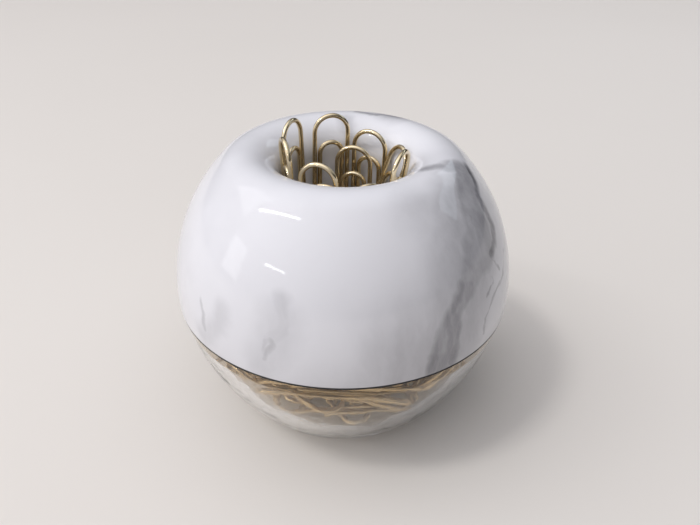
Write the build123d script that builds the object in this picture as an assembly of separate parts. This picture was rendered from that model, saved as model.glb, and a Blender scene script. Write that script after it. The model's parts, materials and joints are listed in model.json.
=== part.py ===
from build123d import *

import math
import os

import numpy as np

# Magnetic paper clip holder. A clear bowl holds a heap of loose wire clips. A dome plugs onto the bowl's
# rim, and a ring magnet behind the wall of the dome's throat holds a ring of clips standing upright.
# Millimetres, +Z up, origin at the middle of the flat base.

# Clear bowl
bowl_height = 24.6            # shoulder on which the seam ring lies
base_radius = 19.6
base_corner = 2.4
bowl_side_radius = 48.9       # radius of the arc from the base to the shoulder
bowl_wall = 2.2
floor_thickness = 2.4
floor_corner = 5.0
shoulder_inset = 0.25         # step from the dome's lip in to the shoulder
spigot_height = 4.0
spigot_wall = 1.4

# Seam ring
seam_ring_thickness = 0.35
seam_ring_inset = 0.3         # step from the shoulder in to the ring

# Dome
dome_radius = 32.5
belly_above_lip = 2.15        # widest level above the dome's lip
dome_side_radius = 34.7       # radius of the arc up the dome's side
dome_wall = 2.0
crest_radius = 6.2            # roll between the side and the throat
throat_radius = 11.6
lip_wall = 1.6
lip_round = 0.25
plug_clearance = 0.1          # between spigot and socket
plug_head_gap = 0.4           # above the spigot

# Magnet and what holds it
magnet_depth = 9.6            # top of the dome down to the magnet
magnet_height = 6.0
magnet_width = 6.0            # across the ring's section
magnet_clearance = 0.05
rib_count = 6
rib_thickness = 1.4
retainer_plate = 1.5
retainer_wall = 1.2
retainer_rim = 3.0            # height of the wall round the magnet
snap_height = 1.0
snap_reach = 0.5

# Wire clip
wire = 0.9
clip_length = 28.0
clip_width = 7.5
wire_gap = 0.2                # between the wires of one clip
inner_loop_drop = 5.4         # outer loop's top to inner loop's top
outer_leg_end = 9.0           # free end of the outer leg above the clip's foot
inner_leg_end = 7.0           # free end of the inner leg above the clip's foot

# Clips that stand in the throat: place in the ring, counted in clip widths clockwise from the first one,
# height of the top over the dome in wire widths, outward lean and sideways roll in degrees, and how many
# wire widths an inner clip stands in front of the wall's seat
wall_gap = 0.15
first_azimuth = 105.5
standing_clips = [
    (0.0, 2.88, 0.0, 1.0, 0),
    (1.045, -0.23, 0.0, 1.0, 0),
    (2.072, -1.57, 19.0, 0.0, 0),
    (3.244, 1.77, 8.0, 0.0, 0),
    (4.258, -2.9, 0.0, 0.0, 0),
    (5.275, -2.9, 0.0, 0.0, 0),
    (6.624, 3.32, 4.0, 0.0, 0),
    (7.676, 3.88, 2.0, 0.0, 0),
    (0.706, -3.2, 0.0, 0.0, 3.44),
    (5.336, 0.66, 0.0, 7.0, 1.89),
]

# Heap of loose clips
heap_gap = 0.06
heap_top_above_shoulder = 2.6
heap_top_below_standing = 0.6
heap_layers = 9
heap_layer_clips = 12
heap_seed = 19
field_cell_width = 0.14

# Levels and radii that follow
lip_z = bowl_height + seam_ring_thickness
belly_z = lip_z + belly_above_lip
side_centre = dome_radius - dome_side_radius
lip_radius = side_centre + math.sqrt(dome_side_radius**2 - belly_above_lip**2)
socket_radius = lip_radius - lip_wall
spigot_radius = socket_radius - plug_clearance
bowl_mouth_radius = spigot_radius - spigot_wall
spigot_top = bowl_height + spigot_height
socket_top = spigot_top + plug_head_gap
shoulder_radius = lip_radius - shoulder_inset

crest_centre = throat_radius + crest_radius
centre_distance = dome_side_radius - crest_radius
crest_z = belly_z + math.sqrt(centre_distance**2 - (crest_centre - side_centre) ** 2)
dome_top = crest_z + crest_radius

tube_radius = throat_radius + dome_wall
magnet_bore = tube_radius + magnet_clearance
magnet_radius = magnet_bore + magnet_width
magnet_top = dome_top - magnet_depth
magnet_bottom = magnet_top - magnet_height
retainer_bottom = magnet_bottom - retainer_plate
tube_bottom = retainer_bottom - snap_height

wire_radius = wire / 2


def revolved(profile):
    return revolve(Plane.XZ * profile, Axis.Z)


def disc(radius, bottom, top):
    return extrude(Pos(0, 0, bottom) * Circle(radius), top - bottom)


def ring(inner, outer, bottom, top):
    return disc(outer, bottom, top) - disc(inner, bottom, top)


def arc_about(centre, radius, start, end):
    """Arc from start to end, shorter way, about a known centre."""
    middle = Vector(*start) + Vector(*end) - 2 * Vector(*centre)
    crown = Vector(*centre) + middle.normalized() * radius
    return ThreePointArc(start, crown, end)


def dome_section(inset, foot):
    """Half section of the dome's body, set in from the outer skin and closed along its foot."""
    side = dome_side_radius - inset
    roll = crest_radius - inset
    lip = (side_centre + math.sqrt(side**2 - (foot - belly_z) ** 2), foot)
    toward = (Vector(crest_centre, crest_z) - Vector(side_centre, belly_z)).normalized()
    join = Vector(side_centre, belly_z) + toward * side
    join = (join.X, join.Y)
    top = (crest_centre, crest_z + roll)
    mouth = (throat_radius + inset, crest_z)
    edges = Curve() + [
        arc_about((side_centre, belly_z), side, lip, join),
        arc_about((crest_centre, crest_z), roll, join, top),
        arc_about((crest_centre, crest_z), roll, top, mouth),
        Line(mouth, (mouth[0], foot)),
        Line((mouth[0], foot), lip),
    ]
    return make_face(edges)


def make_dome():
    """Dome skin with its throat tube, the socket for the bowl, the magnet's ribs and the snap bead."""
    skin = revolved(dome_section(0, lip_z)) - revolved(dome_section(dome_wall, lip_z - 1))
    skin -= disc(tube_radius + 1, lip_z - 1, tube_bottom)
    skin -= disc(socket_radius, lip_z - 1, socket_top)
    lip_edges = skin.edges().filter_by(GeomType.CIRCLE).group_by(Axis.Z)[0]
    skin = fillet(lip_edges.sort_by(SortBy.RADIUS)[-1], lip_round)

    reach = magnet_radius + magnet_clearance + retainer_wall
    blank = Pos(0, 0, magnet_top) * Box(
        2 * reach, rib_thickness, crest_radius * 2, align=(Align.CENTER, Align.CENTER, Align.MIN)
    )
    ribs = Part() + [Rot(0, 0, 360 / rib_count * i) * blank for i in range(rib_count // 2)]
    ribs &= revolved(dome_section(dome_wall / 2, lip_z))

    bead = Polyline(
        (tube_radius - dome_wall / 2, tube_bottom),
        (tube_radius, tube_bottom),
        (tube_radius + snap_reach, retainer_bottom),
        (tube_radius - dome_wall / 2, retainer_bottom),
        close=True,
    )
    return skin + ribs + revolved(make_face(bead))


def make_magnet():
    return ring(magnet_bore, magnet_radius, magnet_bottom, magnet_top)


def make_retainer():
    """Cup that is pushed up over the snap bead and carries the magnet against the ribs."""
    outer = magnet_radius + magnet_clearance + retainer_wall
    cup = ring(magnet_bore, outer, retainer_bottom, magnet_bottom)
    cup += ring(outer - retainer_wall, outer, magnet_bottom, magnet_bottom + retainer_rim)
    return cup


def make_seam_ring():
    return ring(spigot_radius + plug_clearance, shoulder_radius - seam_ring_inset, bowl_height, lip_z)


def bowl_arc_centre():
    """Centre of the side's arc, which runs from the base edge to the shoulder."""
    base = Vector(base_radius, 0)
    shoulder = Vector(shoulder_radius, bowl_height)
    chord = shoulder - base
    inward = Vector(-chord.Y, chord.X).normalized()
    return (base + shoulder) / 2 + inward * math.sqrt(bowl_side_radius**2 - (chord.length / 2) ** 2)


def bowl_cavity():
    """Half section of the space inside the bowl, open above its rim."""
    centre = bowl_arc_centre()
    inner = bowl_side_radius - bowl_wall
    turn = (bowl_mouth_radius, centre.Y - math.sqrt(inner**2 - (bowl_mouth_radius - centre.X) ** 2))
    foot = (centre.X + math.sqrt(inner**2 - (floor_thickness - centre.Y) ** 2), floor_thickness)
    edges = Curve() + [
        Line((0, floor_thickness), foot),
        arc_about((centre.X, centre.Y), inner, foot, turn),
        Line(turn, (bowl_mouth_radius, spigot_top + 1)),
        Line((bowl_mouth_radius, spigot_top + 1), (0, spigot_top + 1)),
        Line((0, spigot_top + 1), (0, floor_thickness)),
    ]
    section = make_face(edges)
    corner = section.vertices().sort_by_distance((foot[0], foot[1], 0))[0]
    return fillet(corner, floor_corner)


def make_bowl():
    centre = bowl_arc_centre()
    edges = Curve() + [
        Line((0, 0), (base_radius, 0)),
        arc_about((centre.X, centre.Y), bowl_side_radius, (base_radius, 0), (shoulder_radius, bowl_height)),
        Line((shoulder_radius, bowl_height), (spigot_radius, bowl_height)),
        Line((spigot_radius, bowl_height), (spigot_radius, spigot_top)),
        Line((spigot_radius, spigot_top), (0, spigot_top)),
        Line((0, spigot_top), (0, 0)),
    ]
    section = make_face(edges)
    section = fillet(section.vertices().sort_by_distance((base_radius, 0, 0))[0], base_corner)
    return revolved(section) - revolved(bowl_cavity())


def clip_path():
    """Centre line of one clip, flat in XY with its length along Y: two loops at the top, one at the foot."""
    outer = (clip_width - wire) / 2
    inner = outer - wire - wire_gap
    foot_loop = (outer + inner) / 2
    top = clip_length / 2 - wire_radius
    foot = -top
    inner_top = top - inner_loop_drop
    foot_centre = inner - foot_loop
    return Wire([
        Line((outer, foot + outer_leg_end), (outer, top - outer)),
        ThreePointArc((outer, top - outer), (0, top), (-outer, top - outer)),
        Line((-outer, top - outer), (-outer, foot + foot_loop)),
        ThreePointArc((-outer, foot + foot_loop), (foot_centre, foot), (inner, foot + foot_loop)),
        Line((inner, foot + foot_loop), (inner, inner_top - inner)),
        ThreePointArc((inner, inner_top - inner), (0, inner_top), (-inner, inner_top - inner)),
        Line((-inner, inner_top - inner), (-inner, foot + inner_leg_end)),
    ])


def make_clip(path):
    return sweep(Plane(path @ 0, z_dir=path % 0) * Circle(wire_radius), path=path)


def points_along(path, count=240):
    return np.array([tuple(path @ t)[:2] for t in np.linspace(0, 1, count)])


def placed(solid, origin, across, along):
    """Copy of a flat clip with its width and its length turned to two unit vectors."""
    normal = np.cross(across, along)
    frame = Plane(origin=tuple(origin), x_dir=tuple(across), z_dir=tuple(normal))
    return frame.location * solid


def throat_limit(heights):
    """Radius of the throat's wall at each height, wider over the crest and open below the tube."""
    above = np.clip(heights - crest_z, 0, crest_radius)
    limit = throat_radius + crest_radius - np.sqrt(crest_radius**2 - above**2)
    return np.where(heights < tube_bottom - wire, np.inf, limit)


def make_standing_clips(solid, outline):
    """Clips held upright: the outer ones rest on the throat's wall, the inner ones stand in front of those."""
    seat = throat_radius - wall_gap - wire_radius
    half_span = (clip_width - wire) / 2
    pitch = 2 * math.asin(half_span / seat) + 2 * math.asin((wire + wall_gap) / 2 / seat)
    clips = []
    for place, rise, lean_deg, roll_deg, inset in standing_clips:
        azimuth = math.radians(first_azimuth) - place * pitch
        lean = math.radians(lean_deg)
        roll = math.radians(roll_deg)
        outward = np.array([math.cos(azimuth), math.sin(azimuth), 0])
        sideways = np.array([-math.sin(azimuth), math.cos(azimuth), 0])
        upward = np.array([0, 0, math.cos(lean)]) + outward * math.sin(lean)
        across = sideways * math.cos(roll) + upward * math.sin(roll)
        along = upward * math.cos(roll) - sideways * math.sin(roll)
        line = outline[:, :1] * across + outline[:, 1:] * along
        base_z = dome_top + rise * wire - wire_radius - line[:, 2].max()
        if inset:
            distance = seat - inset * wire
        else:
            room = throat_limit(line[:, 2] + base_z) - wall_gap - wire_radius
            distance = np.min(np.sqrt(room**2 - (line @ sideways) ** 2) - line @ outward)
        origin = outward * distance + np.array([0, 0, base_z])
        foot_z = line[:, 2].min() + base_z - wire_radius
        clips.append((placed(solid, origin, across, along), foot_z))
    return clips


def bowl_floor_heights(radii, reach):
    """Lowest height of a ball of the given radius over the bowl's inside, at each distance from the axis."""
    edges = [e for e in bowl_cavity().edges() if (e @ 0.5).X > 0.01 and (e @ 0.5).Y < spigot_top]
    points = np.array([tuple(e @ t)[:2] for e in edges for t in np.linspace(0, 1, 300)])
    step = np.clip(reach**2 - (radii[:, None] - points[None, :, 0]) ** 2, 0, None)
    inside = np.abs(radii[:, None] - points[None, :, 0]) < reach
    heights = np.where(inside, points[None, :, 1] + np.sqrt(step), -np.inf).max(axis=1)
    return np.where(radii > bowl_mouth_radius - reach, np.inf, heights)


class Heap:
    """Clips dropped one by one onto a height field that holds the lowest free level of a wire's centre."""

    def __init__(self, outline, standing_foot):
        self.outline = outline
        self.random = np.random.default_rng(heap_seed)
        self.half = math.ceil(bowl_mouth_radius / field_cell_width + 1)
        axis = np.arange(-self.half, self.half + 1) * field_cell_width
        self.x, self.y = np.meshgrid(axis, axis, indexing="ij")
        radius = np.hypot(self.x, self.y)
        table = np.linspace(0, radius.max() + field_cell_width, 900)
        floor = bowl_floor_heights(table, wire_radius + heap_gap)
        floor = np.where(np.isinf(floor), 10 * bowl_height, floor)
        self.field = np.interp(radius, table, floor)
        self.floor = lambda r: np.interp(r, table, floor)
        self.ceiling_rim = bowl_height + heap_top_above_shoulder - wire_radius
        self.ceiling_middle = standing_foot - heap_top_below_standing - wire_radius
        self.middle = throat_radius + crest_radius / 2

    def turned(self, pose):
        """Width and length directions of a clip that is spun flat and then tilted toward a bearing."""
        x, y, bearing, tilt, spin = pose
        c, s = math.cos(bearing), math.sin(bearing)
        swing = np.array([[c, -s, 0], [s, c, 0], [0, 0, 1]])
        c, s = math.cos(tilt), math.sin(tilt)
        lean = np.array([[c, 0, -s], [0, 1, 0], [s, 0, c]])
        flat = np.array([[math.cos(spin), math.sin(spin), 0], [-math.sin(spin), math.cos(spin), 0]])
        return flat @ lean.T @ swing.T

    def drop(self, pose):
        """Height at which the clip comes to rest in a pose, or None where it would not fit."""
        across, along = self.turned(pose)
        line = self.outline[:, :1] * across + self.outline[:, 1:] * along
        line[:, 0] += pose[0]
        line[:, 1] += pose[1]
        cell = line[:, :2] / field_cell_width + self.half
        low = np.floor(cell).astype(int)
        if low.min() < 0 or low.max() >= 2 * self.half:
            return None
        i, j = low.T
        level = np.maximum.reduce([
            self.field[i, j], self.field[i + 1, j], self.field[i, j + 1], self.field[i + 1, j + 1]
        ])
        rest = np.max(level - line[:, 2])
        line[:, 2] += rest
        radius = np.hypot(line[:, 0], line[:, 1])
        ceiling = np.where(radius < self.middle, self.ceiling_middle, self.ceiling_rim)
        return rest if np.all(line[:, 2] < ceiling) else None

    def cover(self, pose):
        """Height of a resting clip's middle over the bowl's inside, or infinity where it would not fit."""
        rest = self.drop(pose)
        if rest is None:
            return np.inf
        return rest - self.floor(math.hypot(pose[0], pose[1]))

    def settle(self, tries=160, nudges=160):
        """Lowest of several random poses along the bowl's inside, then nudged downhill."""
        best, height = None, np.inf
        for _ in range(tries):
            reach = (bowl_mouth_radius - wire) * math.sqrt(self.random.random())
            place = self.random.random() * 2 * math.pi
            slope = math.atan((self.floor(reach) - self.floor(reach - wire)) / wire)
            pose = np.array([
                reach * math.cos(place),
                reach * math.sin(place),
                place + self.random.normal(0, 0.3),
                slope + self.random.normal(0, 0.3),
                self.random.random() * 2 * math.pi,
            ])
            cover = self.cover(pose)
            if cover < height:
                best, height = pose, cover
        for k in range(nudges if best is not None else 0):
            size = 1 - k / nudges
            pose = best + self.random.normal(0, 1, 5) * np.array([wire, wire, 0.2, 0.15, 0.2]) * size
            cover = self.cover(pose)
            if cover < height:
                best, height = pose, cover
        return best

    def stamp(self, pose, height):
        """Raise the field over the clip that now lies there."""
        across, along = self.turned(pose)
        line = self.outline[:, :1] * across + self.outline[:, 1:] * along
        line += np.array([pose[0], pose[1], height])
        reach = wire + heap_gap
        span = int(reach / field_cell_width) + 1
        for x, y, z in line:
            i = int(round(x / field_cell_width)) + self.half
            j = int(round(y / field_cell_width)) + self.half
            part = (slice(max(i - span, 0), i + span + 1), slice(max(j - span, 0), j + span + 1))
            square = (self.x[part] - x) ** 2 + (self.y[part] - y) ** 2
            rise = np.where(square < reach**2, z + np.sqrt(np.clip(reach**2 - square, 0, None)), -np.inf)
            self.field[part] = np.maximum(self.field[part], rise)


def make_heap(solid, outline, standing_foot):
    heap = Heap(outline, standing_foot)
    clips = []
    misses = 0
    while len(clips) < heap_layers * heap_layer_clips and misses < 60:
        pose = heap.settle()
        if pose is None:
            misses += 1
            continue
        height = heap.drop(pose)
        heap.stamp(pose, height)
        across, along = heap.turned(pose)
        clips.append(placed(solid, (pose[0], pose[1], height), across, along))
    return clips


def save(name, shape):
    shape.label = name
    export_step(shape, f"parts/{name}.step")


os.makedirs("parts", exist_ok=True)

save("clear_bowl", make_bowl())
save("seam_ring", make_seam_ring())
save("dome_shell", make_dome())
save("ring_magnet", make_magnet())
save("magnet_retainer", make_retainer())

path = clip_path()
clip = make_clip(path)
outline = points_along(path)

standing = make_standing_clips(clip, outline)
for number, (solid, foot_z) in enumerate(standing, start=1):
    save(f"standing_clip_{number:02d}", solid)

loose = make_heap(clip, outline, min(foot_z for solid, foot_z in standing))
for layer in range(heap_layers):
    group = loose[len(loose) * layer // heap_layers : len(loose) * (layer + 1) // heap_layers]
    save(f"loose_clips_{layer + 1}", Compound(children=group))

print(len(standing), "standing clips and", len(loose), "loose clips")
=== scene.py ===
import json
import math

import bmesh
import bpy
from mathutils import Matrix, Vector

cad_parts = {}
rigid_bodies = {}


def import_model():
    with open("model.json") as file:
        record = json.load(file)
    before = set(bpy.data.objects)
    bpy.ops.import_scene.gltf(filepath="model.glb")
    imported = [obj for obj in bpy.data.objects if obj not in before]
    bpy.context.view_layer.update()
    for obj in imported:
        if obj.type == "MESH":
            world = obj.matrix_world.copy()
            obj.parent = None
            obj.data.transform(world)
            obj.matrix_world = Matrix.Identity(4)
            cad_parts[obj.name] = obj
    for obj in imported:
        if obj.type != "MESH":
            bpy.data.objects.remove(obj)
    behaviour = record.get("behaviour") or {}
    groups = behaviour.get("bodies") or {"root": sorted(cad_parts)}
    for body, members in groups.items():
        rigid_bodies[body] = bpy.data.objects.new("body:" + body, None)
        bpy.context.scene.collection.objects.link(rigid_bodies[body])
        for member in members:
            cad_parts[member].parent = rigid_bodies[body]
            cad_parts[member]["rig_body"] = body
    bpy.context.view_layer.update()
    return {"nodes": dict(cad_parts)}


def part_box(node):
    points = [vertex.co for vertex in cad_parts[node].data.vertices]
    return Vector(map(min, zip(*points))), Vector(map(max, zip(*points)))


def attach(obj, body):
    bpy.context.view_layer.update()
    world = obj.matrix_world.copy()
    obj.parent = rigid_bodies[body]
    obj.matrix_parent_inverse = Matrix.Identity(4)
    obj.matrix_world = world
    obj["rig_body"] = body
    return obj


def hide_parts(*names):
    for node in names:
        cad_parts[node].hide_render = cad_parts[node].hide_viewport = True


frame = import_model()

# Sizes of the moulded pieces, in metres. Heights come from the frame, and so do the outer radii of the
# magnet and its cup.
MM = 0.001
bowl_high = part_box("clear_bowl")[1]
ring_low, ring_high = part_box("seam_ring")
dome_low, dome_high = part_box("dome_shell")
magnet_low, magnet_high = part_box("ring_magnet")
retainer_low, retainer_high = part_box("magnet_retainer")

DOME_RADIUS = 32.5 * MM
SIDE_RADIUS = 34.7 * MM
CREST_RADIUS = 6.2 * MM
THROAT_RADIUS = 11.6 * MM
DOME_WALL = 2.0 * MM
LIP_WALL = 1.6 * MM
LIP_ROUND = 0.25 * MM
BELLY_ABOVE_LIP = 2.15 * MM
PLUG_HEAD_GAP = 0.4 * MM
SNAP_HEIGHT = 1.0 * MM
SNAP_REACH = 0.5 * MM
RIB_COUNT = 6
RIB_THICKNESS = 1.4 * MM
RIB_HEIGHT = 0.6 * CREST_RADIUS

BASE_RADIUS = 19.6 * MM
BASE_CORNER = 2.4 * MM
BOWL_SIDE_RADIUS = 48.9 * MM
BOWL_WALL = 2.2 * MM
FLOOR_THICKNESS = 2.4 * MM
FLOOR_CORNER = 5.0 * MM
SHOULDER_INSET = 0.25 * MM
SPIGOT_WALL = 1.4 * MM
PLUG_CLEARANCE = 0.1 * MM
MAGNET_CLEARANCE = 0.05 * MM
RETAINER_WALL = 1.2 * MM
RETAINER_PLATE = 1.5 * MM
SEAM_SET_BACK = 0.12 * MM
SEAM_EDGE = 0.03 * MM
MAGNET_EDGE = 0.3 * MM

# Facets round a full turn, and the gap within which turned points are one
MOULDING_FACETS = 240
BAND_FACETS = 160
MERGE_GAP = 1e-7

LIP_Z = dome_low.z
DOME_TOP = dome_high.z
BOWL_HEIGHT = ring_low.z
SPIGOT_TOP = bowl_high.z

SIDE_CENTRE = (DOME_RADIUS - SIDE_RADIUS, LIP_Z + BELLY_ABOVE_LIP)
CREST_CENTRE = (THROAT_RADIUS + CREST_RADIUS, DOME_TOP - CREST_RADIUS)
LIP_RADIUS = SIDE_CENTRE[0] + math.sqrt(SIDE_RADIUS**2 - BELLY_ABOVE_LIP**2)
SOCKET_RADIUS = LIP_RADIUS - LIP_WALL
SPIGOT_RADIUS = SOCKET_RADIUS - PLUG_CLEARANCE
MOUTH_RADIUS = SPIGOT_RADIUS - SPIGOT_WALL
SHOULDER_RADIUS = LIP_RADIUS - SHOULDER_INSET
TUBE_RADIUS = THROAT_RADIUS + DOME_WALL
MAGNET_BORE = TUBE_RADIUS + MAGNET_CLEARANCE
CREST_JOIN_Z = CREST_CENTRE[1] + 0.712 * CREST_RADIUS


class Section:
    """Half section drawn in the XZ plane by a moving tip, then turned about the Z axis."""

    def __init__(self, r, z):
        self.bm = bmesh.new()
        self.tip = self.bm.verts.new((r, 0, z))

    def line(self, r, z):
        self.tip = bmesh.ops.extrude_vert_indiv(self.bm, verts=[self.tip])["verts"][0]
        self.tip.co = (r, 0, z)
        return self

    def arc(self, centre, to, steps):
        """Arc about a centre, the shorter way round, to the bearing of another point."""
        start = math.atan2(self.tip.co.z - centre[1], self.tip.co.x - centre[0])
        end = math.atan2(to[1] - centre[1], to[0] - centre[0])
        angle = (end - start + math.pi) % (2 * math.pi) - math.pi
        swept = bmesh.ops.spin(
            self.bm,
            geom=[self.tip],
            cent=(centre[0], 0, centre[1]),
            axis=(0, -1, 0),
            angle=angle,
            steps=steps,
        )
        self.tip = next(v for v in swept["geom_last"] if isinstance(v, bmesh.types.BMVert))
        return self

    def turned(self, steps):
        bmesh.ops.remove_doubles(self.bm, verts=self.bm.verts, dist=MERGE_GAP)
        bmesh.ops.spin(
            self.bm,
            geom=self.bm.verts[:] + self.bm.edges[:],
            cent=(0, 0, 0),
            axis=(0, 0, 1),
            angle=2 * math.pi,
            steps=steps,
            use_merge=True,
        )
        bmesh.ops.remove_doubles(self.bm, verts=self.bm.verts, dist=MERGE_GAP)
        bmesh.ops.recalc_face_normals(self.bm, faces=self.bm.faces)
        return self.bm


def piece(name, bm, material, body, *nodes, sharp=35):
    """Finished piece on a body, smooth except over its sharp edges."""
    for face in bm.faces:
        face.smooth = True
    for edge in bm.edges:
        edge.smooth = edge.calc_face_angle(0) < math.radians(sharp)
    mesh = bpy.data.meshes.new(name)
    bm.to_mesh(mesh)
    bm.free()
    mesh.materials.append(material)
    obj = bpy.data.objects.new(name, mesh)
    bpy.context.scene.collection.objects.link(obj)
    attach(obj, body)
    if nodes:
        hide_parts(*nodes)
    return obj


def feed(tree, node, inputs):
    """Set or link a node's inputs."""
    for key, value in inputs.items():
        if isinstance(value, bpy.types.NodeSocket):
            tree.links.new(value, node.inputs[key])
        else:
            node.inputs[key].default_value = value
    return node


def add(tree, kind, inputs=None, **settings):
    """New shader node, with its settings made and its inputs set or linked."""
    node = tree.nodes.new("ShaderNode" + kind)
    for key, value in settings.items():
        setattr(node, key, value)
    return feed(tree, node, inputs or {})


def place_group(tree, group, inputs):
    node = tree.nodes.new("ShaderNodeGroup")
    node.node_tree = group
    return feed(tree, node, inputs)


def blend(tree, share, low, high):
    """Colour between two others, by a share."""
    return add(tree, "Mix", {0: share, 6: low, 7: high}, data_type="RGBA").outputs[2]


def lay_on(tree, surface, colour, roughness, height, strength, depth):
    """Lead a colour, a roughness and the bump of a height to a surface."""
    bump = add(tree, "Bump", {"Height": height, "Strength": strength, "Distance": depth})
    tree.links.new(colour, surface.inputs["Base Color"])
    tree.links.new(roughness, surface.inputs["Roughness"])
    tree.links.new(bump.outputs[0], surface.inputs["Normal"])


def new_group(name, sockets_in, sockets_out):
    group = bpy.data.node_groups.new(name, "ShaderNodeTree")
    for label, kind in sockets_in:
        group.interface.new_socket(label, in_out="INPUT", socket_type="NodeSocket" + kind)
    for label, kind in sockets_out:
        group.interface.new_socket(label, in_out="OUTPUT", socket_type="NodeSocket" + kind)
    return group, group.nodes.new("NodeGroupInput"), group.nodes.new("NodeGroupOutput")


def new_material(name):
    material = bpy.data.materials.new(name)
    material.use_nodes = True
    tree = material.node_tree
    return material, tree, tree.nodes["Principled BSDF"]


def millimetres(tree):
    """Object coordinates in millimetres."""
    place = add(tree, "TexCoord").outputs["Object"]
    return add(tree, "VectorMath", {0: place, "Scale": 1000}, operation="SCALE").outputs[0]


def build_vein_and_shade_stroke():
    """Mask of one soft stroke between two points, with a core that changes width along it."""
    group, given, result = new_group(
        "Vein and shade stroke",
        [("Point", "Vector"), ("From", "Vector"), ("To", "Vector"),
         ("Core", "Float"), ("End core", "Float"), ("Feather", "Float"), ("Depth", "Float")],
        [("Mask", "Float")],
    )
    give = given.outputs
    run = add(group, "VectorMath", {0: give["To"], 1: give["From"]}, operation="SUBTRACT").outputs[0]
    rel = add(group, "VectorMath", {0: give["Point"], 1: give["From"]}, operation="SUBTRACT").outputs[0]
    along = add(group, "VectorMath", {0: rel, 1: run}, operation="DOT_PRODUCT").outputs["Value"]
    square = add(group, "VectorMath", {0: run, 1: run}, operation="DOT_PRODUCT").outputs["Value"]
    ratio = add(group, "Math", {0: along, 1: square}, operation="DIVIDE").outputs[0]
    share = add(group, "Clamp", {"Value": ratio}).outputs[0]
    foot = add(group, "VectorMath", {0: run, "Scale": share}, operation="SCALE").outputs[0]
    away = add(group, "VectorMath", {0: rel, 1: foot}, operation="DISTANCE").outputs["Value"]
    core = add(group, "Mix", {0: share, 2: give["Core"], 3: give["End core"]}).outputs[0]
    edge = add(group, "Math", {0: core, 1: give["Feather"]}, operation="ADD").outputs[0]
    fade = add(
        group,
        "MapRange",
        {"Value": away, "From Min": edge, "From Max": core, "To Min": 0.0, "To Max": 1.0},
        interpolation_type="SMOOTHSTEP",
        clamp=False,
    ).outputs["Result"]
    mask = add(group, "Math", {0: fade, 1: give["Depth"]}, operation="MULTIPLY").outputs[0]
    group.links.new(mask, result.inputs["Mask"])
    return group


def build_moulded_skin():
    """Faint unevenness of a moulded, handled surface: roughness spread and a height for bump."""
    group, given, result = new_group(
        "Moulded skin",
        [("Point", "Vector"), ("Roughness", "Float"), ("Spread", "Float"), ("Wave size", "Float")],
        [("Roughness", "Float"), ("Height", "Float")],
    )
    give = given.outputs
    smear = add(
        group, "TexNoise", {"Vector": give["Point"], "Scale": 0.12, "Detail": 5.0, "Roughness": 0.65}
    ).outputs["Fac"]
    centred = add(group, "Math", {0: smear, 1: 0.5}, operation="SUBTRACT").outputs[0]
    spread = add(group, "Math", {0: centred, 1: give["Spread"]}, operation="MULTIPLY").outputs[0]
    rough = add(
        group, "Math", {0: spread, 1: give["Roughness"]}, operation="ADD", use_clamp=True
    ).outputs[0]
    scale = add(group, "Math", {0: 1.0, 1: give["Wave size"]}, operation="DIVIDE").outputs[0]
    wave = add(
        group, "TexNoise", {"Vector": give["Point"], "Scale": scale, "Detail": 2.0}
    ).outputs["Fac"]
    group.links.new(rough, result.inputs["Roughness"])
    group.links.new(wave, result.inputs["Height"])
    return group


vein_and_shade_stroke = build_vein_and_shade_stroke()
moulded_skin = build_moulded_skin()


def dome_point(azimuth, height, inside=False):
    """Point on the dome's skin in millimetres, at an azimuth from the front toward +X and a height.

    An inside point is on the throat's side of the crest.
    """
    z = height * MM
    if z > CREST_JOIN_Z or inside:
        half = math.sqrt(max(CREST_RADIUS**2 - (z - CREST_CENTRE[1]) ** 2, 0))
        r = CREST_CENTRE[0] - half if inside else CREST_CENTRE[0] + half
    else:
        r = SIDE_CENTRE[0] + math.sqrt(SIDE_RADIUS**2 - (z - SIDE_CENTRE[1]) ** 2)
    turn = math.radians(azimuth)
    return Vector((r * math.sin(turn), -r * math.cos(turn), z)) / MM


# Grey strokes on the dome: points for dome_point, first and last core width, feather and depth of each
# stroke. Most are veins of the print; a few wide soft strokes are painted shade on the low front and the
# right side.
BROAD_VEINS_AND_SHADE = [
    ([(66, 53.5), (74, 52.4), (68.5, 50.8)], 0.2, 1.8, 2.4, 0.56),
    ([(68.5, 50.8), (63.2, 49.4), (59, 47)], 1.6, 2.6, 3.0, 0.60),
    ([(59, 47), (56.5, 44.5), (53, 43.0)], 2.6, 3.6, 3.8, 0.58),
    ([(53, 43.0), (49.5, 42), (46, 40.3), (42.5, 38.6)], 3.6, 1.4, 3.6, 0.54),
    ([(42.5, 38.6), (38.5, 36.7), (36, 34.5)], 1.4, 0.9, 2.8, 0.58),
    ([(36, 34.5), (33.7, 31.7), (32.2, 28.6), (31.8, 24)], 0.9, 0.8, 2.6, 0.64),
    # Broad grey cloud along the main vein: partly print, partly painted shade on the right side of the
    # dome.
    ([(56, 47), (47, 42), (40, 36), (35, 29), (33, 24)], 4.0, 2.0, 9.0, 0.40),
    # The next two wide soft strokes are painted shade on the low front of the dome, not veins.
    ([(27, 22), (27, 29)], 2.0, 2.0, 16.0, 0.34),
    ([(0, 20), (25, 24)], 2.0, 2.0, 13.0, 0.20),
    ([(32, 51.5), (38, 49.5), (42, 47)], 1.5, 2.5, 5.5, 0.15),
    ([(-48.6, 27.6), (-43.5, 30.3), (-39.6, 32.5), (-38, 34.2)], 0.4, 0.4, 3.0, 0.19),
    ([(-17.6, 40), (-18.3, 38.2), (-17.7, 36), (-18.2, 34.8), (-20.5, 33)], 0.2, 0.6, 2.4, 0.22),
    ([(-18.5, 36.5), (-20, 31.5), (-22.5, 28)], 0.8, 1.0, 5.0, 0.17),
    ([(150, 53), (158, 48), (170, 42), (178, 35), (190, 27)], 0.8, 2.6, 5.0, 0.5),
    ([(-120, 46), (-112, 38), (-108, 30)], 0.4, 1.0, 4.5, 0.28),
]
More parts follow.
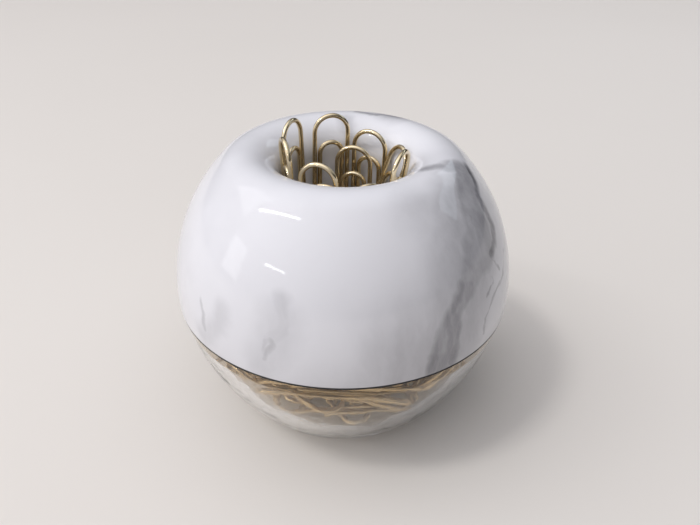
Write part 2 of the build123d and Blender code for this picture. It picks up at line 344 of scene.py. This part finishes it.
FINE_VEINS = [
    ([(80, 51.8), (76.6, 50.0), (70, 48.5), (68.6, 46.1), (68, 43.5), (64, 41.7), (58.5, 40.9)],
     0.1, 0.3, 2.0, 0.84),
    ([(58, 53.2, True), (67, 53.5), (75.4, 52.6)], 0.1, 0.3, 1.8, 0.52),
    ([(39.6, 39.4), (38.0, 37.6), (35.1, 36.0), (31.4, 33.4), (28.8, 28.6), (28, 26)],
     0.1, 0.3, 3.2, 0.70),
    ([(38.2, 33.4), (36.7, 30.6), (35.7, 27.7), (35.4, 25.4)], 0.1, 0.2, 2.2, 0.66),
    ([(56.6, 40.7), (63.4, 37.0)], 0.08, 0.08, 0.55, 0.60),
    ([(55.6, 38.5), (57.8, 36.0), (52.4, 34.9)], 0.12, 0.06, 0.60, 0.58),
    ([(71.6, 38.1), (66, 35.3), (56.8, 33.6), (50.8, 31.3), (50, 27.5)], 0.05, 0.05, 0.60, 0.46),
    ([(49.4, 38.4), (48.2, 34.7)], 0.06, 0.05, 0.55, 0.40),
    ([(-48.1, 34.5), (-47.3, 32.9), (-47.5, 29.1)], 0.05, 0.15, 0.75, 0.42),
    ([(-21, 32.6), (-20, 31.8), (-21.8, 30.4), (-22.8, 29.1)], 0.15, 0.10, 1.20, 0.40),
    ([(-22.3, 32.4), (-23.7, 29.3)], 0.10, 0.10, 0.90, 0.28),
    ([(172, 53.5), (160, 53.6), (146, 53.3)], 0.1, 0.2, 1.1, 0.55),
    ([(178, 53, True), (175.5, 50.8, True)], 0.4, 0.2, 2.4, 0.34),
    ([(152, 52), (162, 46), (172, 41), (182, 34), (188, 28)], 0.2, 0.2, 1.8, 0.6),
    ([(172, 41), (160, 35), (156, 28)], 0.1, 0.1, 0.9, 0.5),
    ([(-122, 48), (-114, 40), (-110, 31)], 0.1, 0.2, 1.3, 0.42),
    ([(110, 44), (118, 38), (115, 31)], 0.1, 0.1, 0.8, 0.4),
]
STREAK_TILT = 0.72
STREAK_SCALE = (0.30, 0.30, 0.07)
HAZE_DEPTH = 0.16
PRINT_WHITE = (0.735, 0.735, 0.77, 1)
# Grey of the veins, also used for the strokes of painted shade.
VEIN_AND_SHADE_GREY = (0.085, 0.082, 0.095, 1)


def stroke_mask(tree, point, veins_and_shade):
    """Strongest of a set of strokes at each point, veins of the print and painted shade."""
    total = None
    for stops, core, end_core, feather, depth in veins_and_shade:
        runs = len(stops) - 1
        for i in range(runs):
            mask = place_group(tree, vein_and_shade_stroke, {
                "Point": point,
                "From": dome_point(*stops[i]),
                "To": dome_point(*stops[i + 1]),
                "Core": core + (end_core - core) * i / runs,
                "End core": core + (end_core - core) * (i + 1) / runs,
                "Feather": feather,
                "Depth": depth,
            }).outputs["Mask"]
            if total is None:
                total = mask
            else:
                total = add(tree, "Math", {0: total, 1: mask}, operation="MAXIMUM").outputs[0]
    return total


def wandering(tree, point, scale, detail, reach):
    """Offset of a point by a noise, in millimetres."""
    noise = add(tree, "TexNoise", {"Vector": point, "Scale": scale, "Detail": detail}).outputs["Color"]
    centred = add(tree, "VectorMath", {0: noise, 1: (0.5, 0.5, 0.5)}, operation="SUBTRACT").outputs[0]
    return add(tree, "VectorMath", {0: centred, "Scale": reach}, operation="SCALE").outputs[0]


def marble_print():
    """White gloss print with soft grey drifts and darker cracks, with wide strokes of painted shade on
    the low front and the right side.
    """
    material, tree, surface = new_material("Marble print")
    point = millimetres(tree)
    slow = wandering(tree, point, 0.09, 3.0, 3.6)
    quick = wandering(tree, point, 0.45, 4.0, 1.3)
    shifted = add(tree, "VectorMath", {0: point, 1: slow}, operation="ADD").outputs[0]
    ragged = add(tree, "VectorMath", {0: shifted, 1: quick}, operation="ADD").outputs[0]

    streaks = add(
        tree,
        "Mapping",
        {"Vector": ragged, "Rotation": (STREAK_TILT, 0.0, 0.0), "Scale": STREAK_SCALE},
    )
    mottle = add(
        tree,
        "TexNoise",
        {"Vector": streaks.outputs[0], "Scale": 1.0, "Detail": 6.0, "Roughness": 0.62},
    ).outputs["Fac"]
    uneven = add(
        tree,
        "MapRange",
        {"Value": mottle, "From Min": 0.3, "From Max": 0.7, "To Min": 0.66, "To Max": 1.12},
    ).outputs["Result"]
    broad = add(
        tree, "Math", {0: stroke_mask(tree, ragged, BROAD_VEINS_AND_SHADE), 1: uneven}, operation="MULTIPLY"
    ).outputs[0]
    fine = add(
        tree, "Math", {0: stroke_mask(tree, ragged, FINE_VEINS), 1: uneven}, operation="MULTIPLY"
    ).outputs[0]
    drift = add(tree, "TexNoise", {"Vector": shifted, "Scale": 0.035, "Detail": 4.0}).outputs["Fac"]
    haze = add(
        tree,
        "MapRange",
        {"Value": drift, "From Min": 0.5, "From Max": 0.8, "To Min": 0.0, "To Max": HAZE_DEPTH},
    ).outputs["Result"]
    # Veins of the print together with the strokes of painted shade.
    veins_and_shade = add(tree, "Math", {0: broad, 1: fine}, operation="MAXIMUM").outputs[0]
    grey = add(tree, "Math", {0: veins_and_shade, 1: haze}, operation="ADD", use_clamp=True).outputs[0]
    colour = blend(tree, grey, PRINT_WHITE, VEIN_AND_SHADE_GREY)
    skin = place_group(tree, moulded_skin, {
        "Point": point, "Roughness": 0.06, "Spread": 0.05, "Wave size": 9.0
    }).outputs
    lay_on(tree, surface, colour, skin["Roughness"], skin["Height"], 0.05, 0.2 * MM)
    surface.inputs["IOR"].default_value = 1.5
    return material


CLEAR_TINT = (0.99, 0.987, 0.98, 1)
# Warm browns on the inner lining and on the floor of the well are painted shade: they darken the heap of
# clips seen through the bowl.
LINING_SHADE_TINT = (0.62, 0.53, 0.41, 1)
WELL_SHADE_TINT = (0.78, 0.66, 0.50, 1)
GLARE_TINT = (0.50, 0.48, 0.44, 1)
LAMP_TINT = (0.94, 0.93, 0.91, 1)


def clear_plastic():
    """Thick clear moulding with a rippled lining, which lets lamps reach the clips inside. The warm
    brown of its lining and well floor is painted shade over those clips.
    """
    material, tree, surface = new_material("Clear plastic")
    point = millimetres(tree)
    lining = add(tree, "Attribute", attribute_name="Lining").outputs["Fac"]
    skin = place_group(tree, moulded_skin, {
        "Point": point, "Roughness": 0.015, "Spread": 0.02, "Wave size": 4.5
    }).outputs
    ripple = add(tree, "Math", {0: skin["Height"], 1: lining}, operation="MULTIPLY").outputs[0]
    # Painted shade: the lining and the well floor turn warm brown.
    wall = blend(tree, lining, CLEAR_TINT, LINING_SHADE_TINT)
    floor = add(tree, "Attribute", attribute_name="Floor").outputs["Fac"]
    tint = blend(tree, floor, wall, WELL_SHADE_TINT)
    lay_on(tree, surface, tint, skin["Roughness"], ripple, 0.13, 0.4 * MM)
    surface.inputs["Transmission Weight"].default_value = 1.0
    surface.inputs["Specular Tint"].default_value = GLARE_TINT
    surface.inputs["IOR"].default_value = 1.49
    through = add(tree, "BsdfTransparent", {"Color": LAMP_TINT})
    lamp_ray = add(tree, "LightPath").outputs["Is Shadow Ray"]
    mixed = add(tree, "MixShader", {0: lamp_ray, 1: surface.outputs[0], 2: through.outputs[0]})
    tree.links.new(mixed.outputs[0], tree.nodes["Material Output"].inputs["Surface"])
    return material


GOLD_DEEP = (0.72, 0.58, 0.36, 1)
GOLD_PALE = (0.90, 0.79, 0.56, 1)


def gold_wire():
    """Bright pale gold plating on drawn wire."""
    material, tree, surface = new_material("Gold wire")
    point = millimetres(tree)
    tone = add(tree, "TexNoise", {"Vector": point, "Scale": 0.35, "Detail": 3.0}).outputs["Fac"]
    colour = blend(tree, tone, GOLD_DEEP, GOLD_PALE)
    skin = place_group(tree, moulded_skin, {
        "Point": point, "Roughness": 0.11, "Spread": 0.10, "Wave size": 0.5
    }).outputs
    lay_on(tree, surface, colour, skin["Roughness"], skin["Height"], 0.06, 0.05 * MM)
    surface.inputs["Metallic"].default_value = 1.0
    return material


def plain_moulding(name, low, high, roughness):
    """Plastic or ceramic with a slightly mixed colour and an uneven skin."""
    material, tree, surface = new_material(name)
    point = millimetres(tree)
    tone = add(
        tree, "TexNoise", {"Vector": point, "Scale": 0.5, "Detail": 5.0, "Roughness": 0.6}
    ).outputs["Fac"]
    colour = blend(tree, tone, low, high)
    skin = place_group(tree, moulded_skin, {
        "Point": point, "Roughness": roughness, "Spread": 0.2, "Wave size": 0.6
    }).outputs
    lay_on(tree, surface, colour, skin["Roughness"], skin["Height"], 0.15, 0.1 * MM)
    return material


def make_dome(material):
    """Dome skin, rolled crest and throat tube, with the socket and the snap bead inside."""
    outer_top = (CREST_CENTRE[0], CREST_CENTRE[1] + CREST_RADIUS)
    side_join = [2 * crest - side for crest, side in zip(CREST_CENTRE, SIDE_CENTRE)]
    socket_top = SPIGOT_TOP + PLUG_HEAD_GAP
    tube_bottom = retainer_low.z - SNAP_HEIGHT
    inner_side = SIDE_RADIUS - DOME_WALL
    socket_join = SIDE_CENTRE[0] + math.sqrt(inner_side**2 - (socket_top - SIDE_CENTRE[1]) ** 2)
    section = Section(LIP_RADIUS - LIP_ROUND, LIP_Z)
    section.arc((LIP_RADIUS - LIP_ROUND, LIP_Z + LIP_ROUND), (LIP_RADIUS, LIP_Z + LIP_ROUND), 4)
    section.arc(SIDE_CENTRE, CREST_CENTRE, 56)
    section.arc(CREST_CENTRE, outer_top, 12)
    section.arc(CREST_CENTRE, (THROAT_RADIUS, CREST_CENTRE[1]), 24)
    section.line(THROAT_RADIUS, tube_bottom)
    section.line(TUBE_RADIUS, tube_bottom)
    section.line(TUBE_RADIUS + SNAP_REACH, retainer_low.z)
    section.line(TUBE_RADIUS, retainer_low.z)
    section.line(TUBE_RADIUS, CREST_CENTRE[1])
    section.arc(CREST_CENTRE, outer_top, 12)
    section.arc(CREST_CENTRE, side_join, 6)
    section.arc(SIDE_CENTRE, (socket_join, socket_top), 24)
    section.line(SOCKET_RADIUS, socket_top)
    section.line(SOCKET_RADIUS, LIP_Z)
    section.line(LIP_RADIUS - LIP_ROUND, LIP_Z)
    bm = section.turned(MOULDING_FACETS)
    return piece("marble_dome", bm, material, "dome", "dome_shell")


def make_ribs(material):
    """Ribs between the throat tube and the dome that stop the magnet at the top."""
    inner = TUBE_RADIUS - DOME_WALL / 2
    outer = retainer_high.x
    ribs = bmesh.new()
    for i in range(RIB_COUNT):
        turn = Matrix.Rotation(2 * math.pi * i / RIB_COUNT, 4, "Z")
        blank = bmesh.ops.create_cube(ribs, size=1.0)["verts"]
        size = Vector((outer - inner, RIB_THICKNESS, RIB_HEIGHT))
        bmesh.ops.scale(ribs, vec=size, verts=blank)
        middle = Vector(((outer + inner) / 2, 0, magnet_high.z + size.z / 2))
        bmesh.ops.translate(ribs, vec=middle, verts=blank)
        bmesh.ops.transform(ribs, matrix=turn, verts=blank)
    return piece("magnet_ribs", ribs, material, "dome")


def make_bowl(material):
    """Clear bowl with its shoulder and spigot outside and its rounded floor inside."""
    base = Vector((BASE_RADIUS, 0))
    shoulder = Vector((SHOULDER_RADIUS, BOWL_HEIGHT))
    chord = shoulder - base
    inward = Vector((-chord.y, chord.x)).normalized()
    rise = math.sqrt(BOWL_SIDE_RADIUS**2 - (chord.length / 2) ** 2)
    centre = (base + shoulder) / 2 + inward * rise

    corner_z = BASE_CORNER
    corner_reach = BOWL_SIDE_RADIUS - BASE_CORNER
    corner_r = centre.x + math.sqrt(corner_reach**2 - (corner_z - centre.y) ** 2)
    corner = Vector((corner_r, corner_z))
    corner_join = corner + (corner - centre).normalized() * BASE_CORNER

    inner = BOWL_SIDE_RADIUS - BOWL_WALL
    turn = Vector((MOUTH_RADIUS, centre.y - math.sqrt(inner**2 - (MOUTH_RADIUS - centre.x) ** 2)))
    well_z = FLOOR_THICKNESS + FLOOR_CORNER
    well_r = centre.x + math.sqrt((inner - FLOOR_CORNER) ** 2 - (well_z - centre.y) ** 2)
    well = Vector((well_r, well_z))
    well_join = well + (well - centre).normalized() * FLOOR_CORNER

    section = Section(0, 0)
    section.line(corner.x, 0)
    section.arc(corner, corner_join, 8)
    section.arc(centre, shoulder, 40)
    section.line(SPIGOT_RADIUS, BOWL_HEIGHT)
    section.line(SPIGOT_RADIUS, SPIGOT_TOP)
    section.line(MOUTH_RADIUS, SPIGOT_TOP)
    section.line(turn.x, turn.y)
    section.arc(centre, well_join, 32)
    section.arc(well, (well.x, FLOOR_THICKNESS), 12)
    section.line(0, FLOOR_THICKNESS)
    bowl = section.turned(MOULDING_FACETS)
    # Lining and Floor mark the inner wall and the floor of the well, for the ripple and the painted
    # shade of the clear plastic.
    lining = bowl.verts.layers.float.new("Lining")
    floor = bowl.verts.layers.float.new("Floor")
    for vert in bowl.verts:
        depth = BOWL_SIDE_RADIUS - (Vector((vert.co.xy.length, vert.co.z)) - centre).length
        if depth > BOWL_WALL / 2 and vert.co.z > FLOOR_THICKNESS / 2:
            vert[lining] = min((vert.co.z - FLOOR_THICKNESS) / FLOOR_CORNER, 1.0)
            vert[floor] = 1.0 - vert[lining]
    return piece("bowl_moulding", bowl, material, "bowl", "clear_bowl")


def make_band(name, inner, outer, bottom, top, edge, material, body, node):
    """Turned ring of rectangular section with slightly eased edges."""
    section = Section(inner + edge, bottom)
    section.line(outer - edge, bottom).line(outer, bottom + edge)
    section.line(outer, top - edge).line(outer - edge, top)
    section.line(inner + edge, top).line(inner, top - edge)
    section.line(inner, bottom + edge).line(inner + edge, bottom)
    return piece(name, section.turned(BAND_FACETS), material, body, node, sharp=50)


def make_retainer(material):
    """Cup round the magnet: a plate below it and a low wall outside it."""
    outer = max(retainer_high.x, retainer_high.y)
    plate_top = retainer_low.z + RETAINER_PLATE
    section = Section(MAGNET_BORE, retainer_low.z)
    section.line(outer, retainer_low.z).line(outer, retainer_high.z)
    section.line(outer - RETAINER_WALL, retainer_high.z).line(outer - RETAINER_WALL, plate_top)
    section.line(MAGNET_BORE, plate_top).line(MAGNET_BORE, retainer_low.z)
    bm = section.turned(BAND_FACETS)
    return piece("retainer_cup", bm, material, "dome", "magnet_retainer")


def make_clips(node, material):
    """Smooth copy of a node's wire clips, with the loose triangles of the solid joined up."""
    bm = bmesh.new()
    bm.from_mesh(frame["nodes"][node].data)
    bmesh.ops.remove_doubles(bm, verts=bm.verts, dist=1e-6)
    body = frame["nodes"][node]["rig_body"]
    return piece(node + "_wire", bm, material, body, node, sharp=50)


# The near-black of the seam band is painted shade: it makes the dark shadow gap between dome and bowl.
SEAM_BLACKS = (0.012, 0.012, 0.014, 1), (0.03, 0.029, 0.032, 1)
FERRITE_GREYS = (0.035, 0.035, 0.038, 1), (0.07, 0.068, 0.066, 1)
MOULDING_WHITES = (0.76, 0.76, 0.75, 1), (0.84, 0.84, 0.83, 1)


def build_object():
    """All pieces of the holder, each with its finish."""
    marble = marble_print()
    clear = clear_plastic()
    gold = gold_wire()
    seam = plain_moulding("Seam black", *SEAM_BLACKS, 0.75)
    ferrite = plain_moulding("Ferrite", *FERRITE_GREYS, 0.55)
    white = plain_moulding("White moulding", *MOULDING_WHITES, 0.4)

    make_dome(marble)
    make_ribs(marble)
    make_bowl(clear)
    # Seam band in near-black, painted shade for the gap at the seam.
    ring = make_band(
        "seam_band", SOCKET_RADIUS, LIP_RADIUS - SEAM_SET_BACK, ring_low.z, ring_high.z,
        SEAM_EDGE, seam, "seam", "seam_ring",
    )
    magnet = make_band(
        "ferrite_ring", MAGNET_BORE, magnet_high.x, magnet_low.z, magnet_high.z,
        MAGNET_EDGE, ferrite, "dome", "ring_magnet",
    )
    make_retainer(white)
    for node in sorted(frame["nodes"]):
        if "clip" in node:
            make_clips(node, gold)


FLOOR_SHADE = (0.720, 0.683, 0.640, 1)
FLOOR_PALE = (0.775, 0.738, 0.695, 1)
FLOOR_RADIUS = 3.0
FLOOR_DROP = 0.05 * MM


def build_floor():
    """Plain pale floor, just clear of the base so that it shows through the plastic."""
    material, tree, surface = new_material("Pale floor")
    point = millimetres(tree)
    tone = add(tree, "TexNoise", {"Vector": point, "Scale": 0.004, "Detail": 3.0}).outputs["Fac"]
    colour = blend(tree, tone, FLOOR_SHADE, FLOOR_PALE)
    tree.links.new(colour, surface.inputs["Base Color"])
    surface.inputs["Roughness"].default_value = 0.6
    bm = bmesh.new()
    bmesh.ops.create_circle(bm, cap_ends=True, segments=96, radius=FLOOR_RADIUS)
    bmesh.ops.translate(bm, vec=(0, 0, -FLOOR_DROP), verts=bm.verts)
    mesh = bpy.data.meshes.new("floor")
    bm.to_mesh(mesh)
    bm.free()
    mesh.materials.append(material)
    floor = bpy.data.objects.new("floor", mesh)
    bpy.context.scene.collection.objects.link(floor)


# Room light: its bright side, how it falls off and how strong it is, and its level in other kinds of ray
BRIGHT_SIDE = Vector((-0.46, -0.17, 0.87)).normalized()
BRIGHT_FALL = 1.7
BRIGHT_LEVEL = 1.48
DIM_LEVEL = 0.04
GLOSS_LEVEL = 0.06
THROUGH_LEVEL = 0.20
BACKDROP_LEVEL = 0.70
ROOM_COLOUR = (0.97, 0.96, 1.0, 1)
WARM_LAMP = (1.0, 0.985, 0.97)
COOL_LAMP = (0.80, 0.90, 1.0)


def add_lamp(name, start, end, width, power, colour=(1, 1, 1), aim=(0, 0, 0.03)):
    """Flat lamp that runs from one point to another, with its width across, and faces the object."""
    start, end = Vector(start), Vector(end)
    middle = (start + end) / 2
    along = (end - start).normalized()
    back = (middle - Vector(aim)).normalized()
    back = (back - along * back.dot(along)).normalized()
    lamp = bpy.data.lights.new(name, "AREA")
    lamp.shape = "RECTANGLE"
    lamp.size, lamp.size_y = (end - start).length, width
    lamp.energy = power
    lamp.color = colour
    obj = bpy.data.objects.new(name, lamp)
    turn = Matrix((along, back.cross(along), back)).transposed().to_4x4()
    obj.matrix_world = Matrix.Translation(middle) @ turn
    bpy.context.scene.collection.objects.link(obj)
    return obj


def build_light():
    """Soft room, brightest high on the left, with a pale backdrop.

    A large lamp and a panel give the shadow, and four small lamps the highlights.
    """
    world = bpy.data.worlds.new("Room")
    bpy.context.scene.world = world
    world.use_nodes = True
    tree = world.node_tree
    facing = add(tree, "TexCoord").outputs["Generated"]
    toward = add(
        tree, "VectorMath", {0: facing, 1: BRIGHT_SIDE}, operation="DOT_PRODUCT"
    ).outputs["Value"]
    share = add(
        tree, "MapRange", {"Value": toward, "From Min": 0.0, "From Max": 1.0}
    ).outputs["Result"]
    lobe = add(tree, "Math", {0: share, 1: BRIGHT_FALL}, operation="POWER").outputs[0]
    level = add(
        tree, "Math", {0: lobe, 1: BRIGHT_LEVEL, 2: DIM_LEVEL}, operation="MULTIPLY_ADD"
    ).outputs[0]
    ray = add(tree, "LightPath").outputs
    in_gloss = add(
        tree, "Math", {0: ray["Is Glossy Ray"], 1: GLOSS_LEVEL}, operation="MULTIPLY"
    ).outputs[0]
    walls = add(
        tree,
        "Math",
        {0: ray["Is Transmission Ray"], 1: THROUGH_LEVEL, 2: in_gloss},
        operation="MULTIPLY_ADD",
    ).outputs[0]
    backdrop = add(
        tree, "Math", {0: ray["Is Camera Ray"], 1: BACKDROP_LEVEL, 2: walls}, operation="MULTIPLY_ADD"
    ).outputs[0]
    shown = add(tree, "Math", {0: level, 1: backdrop}, operation="MAXIMUM").outputs[0]
    sky = tree.nodes["Background"]
    sky.inputs["Color"].default_value = ROOM_COLOUR
    tree.links.new(shown, sky.inputs["Strength"])
    add_lamp("Daylight", (-2.3, -0.1, 1.9), (-2.1, 1.2, 1.9), 1.2, 5.0, WARM_LAMP)
    key = add_lamp("Ceiling panel", (-0.62, -0.22, 1.13), (-0.48, -0.36, 1.13), 0.16, 3.4, WARM_LAMP)
    key.visible_glossy = False
    add_lamp("Long tube", (-0.486, -0.066, 0.417), (-0.283, -0.273, 0.521), 0.008, 0.26)
    add_lamp("Short tube", (-0.476, -0.346, 0.248), (-0.371, -0.457, 0.253), 0.011, 0.06)
    add_lamp("Window pane", (-0.60, -0.06, 0.158), (-0.57, -0.21, 0.158), 0.19, 0.12)
    add_lamp("Far window", (0.55, 0.05, 0.30), (0.22, 0.55, 0.36), 0.13, 0.30, COOL_LAMP)


# Camera at the photograph's view, for a frame of 700 by 525
SENSOR = 36.0
LENS = 36.0
TARGET = Vector((1.34, 0.0, 28.98)) * MM
DISTANCE = 139.5 * MM
ELEVATION = math.radians(32.15)
ROLL = math.radians(0.79)


def build_camera():
    """Camera that looks at the target from the front and above, with a slight roll."""
    back = Vector((0, -math.cos(ELEVATION), math.sin(ELEVATION)))
    right = Vector((1, 0, 0))
    up = back.cross(right)
    across = math.cos(ROLL) * right + math.sin(ROLL) * up
    upward = math.cos(ROLL) * up - math.sin(ROLL) * right
    camera = bpy.data.cameras.new("Camera")
    camera.sensor_width = SENSOR
    camera.lens = LENS
    camera.clip_start = 1 * MM
    obj = bpy.data.objects.new("Camera", camera)
    turn = Matrix((across, upward, back)).transposed().to_4x4()
    obj.matrix_world = Matrix.Translation(TARGET + back * DISTANCE) @ turn
    bpy.context.scene.collection.objects.link(obj)
    bpy.context.scene.camera = obj


build_object()
build_floor()
build_light()
build_camera()
bpy.context.scene.view_settings.view_transform = "Standard"
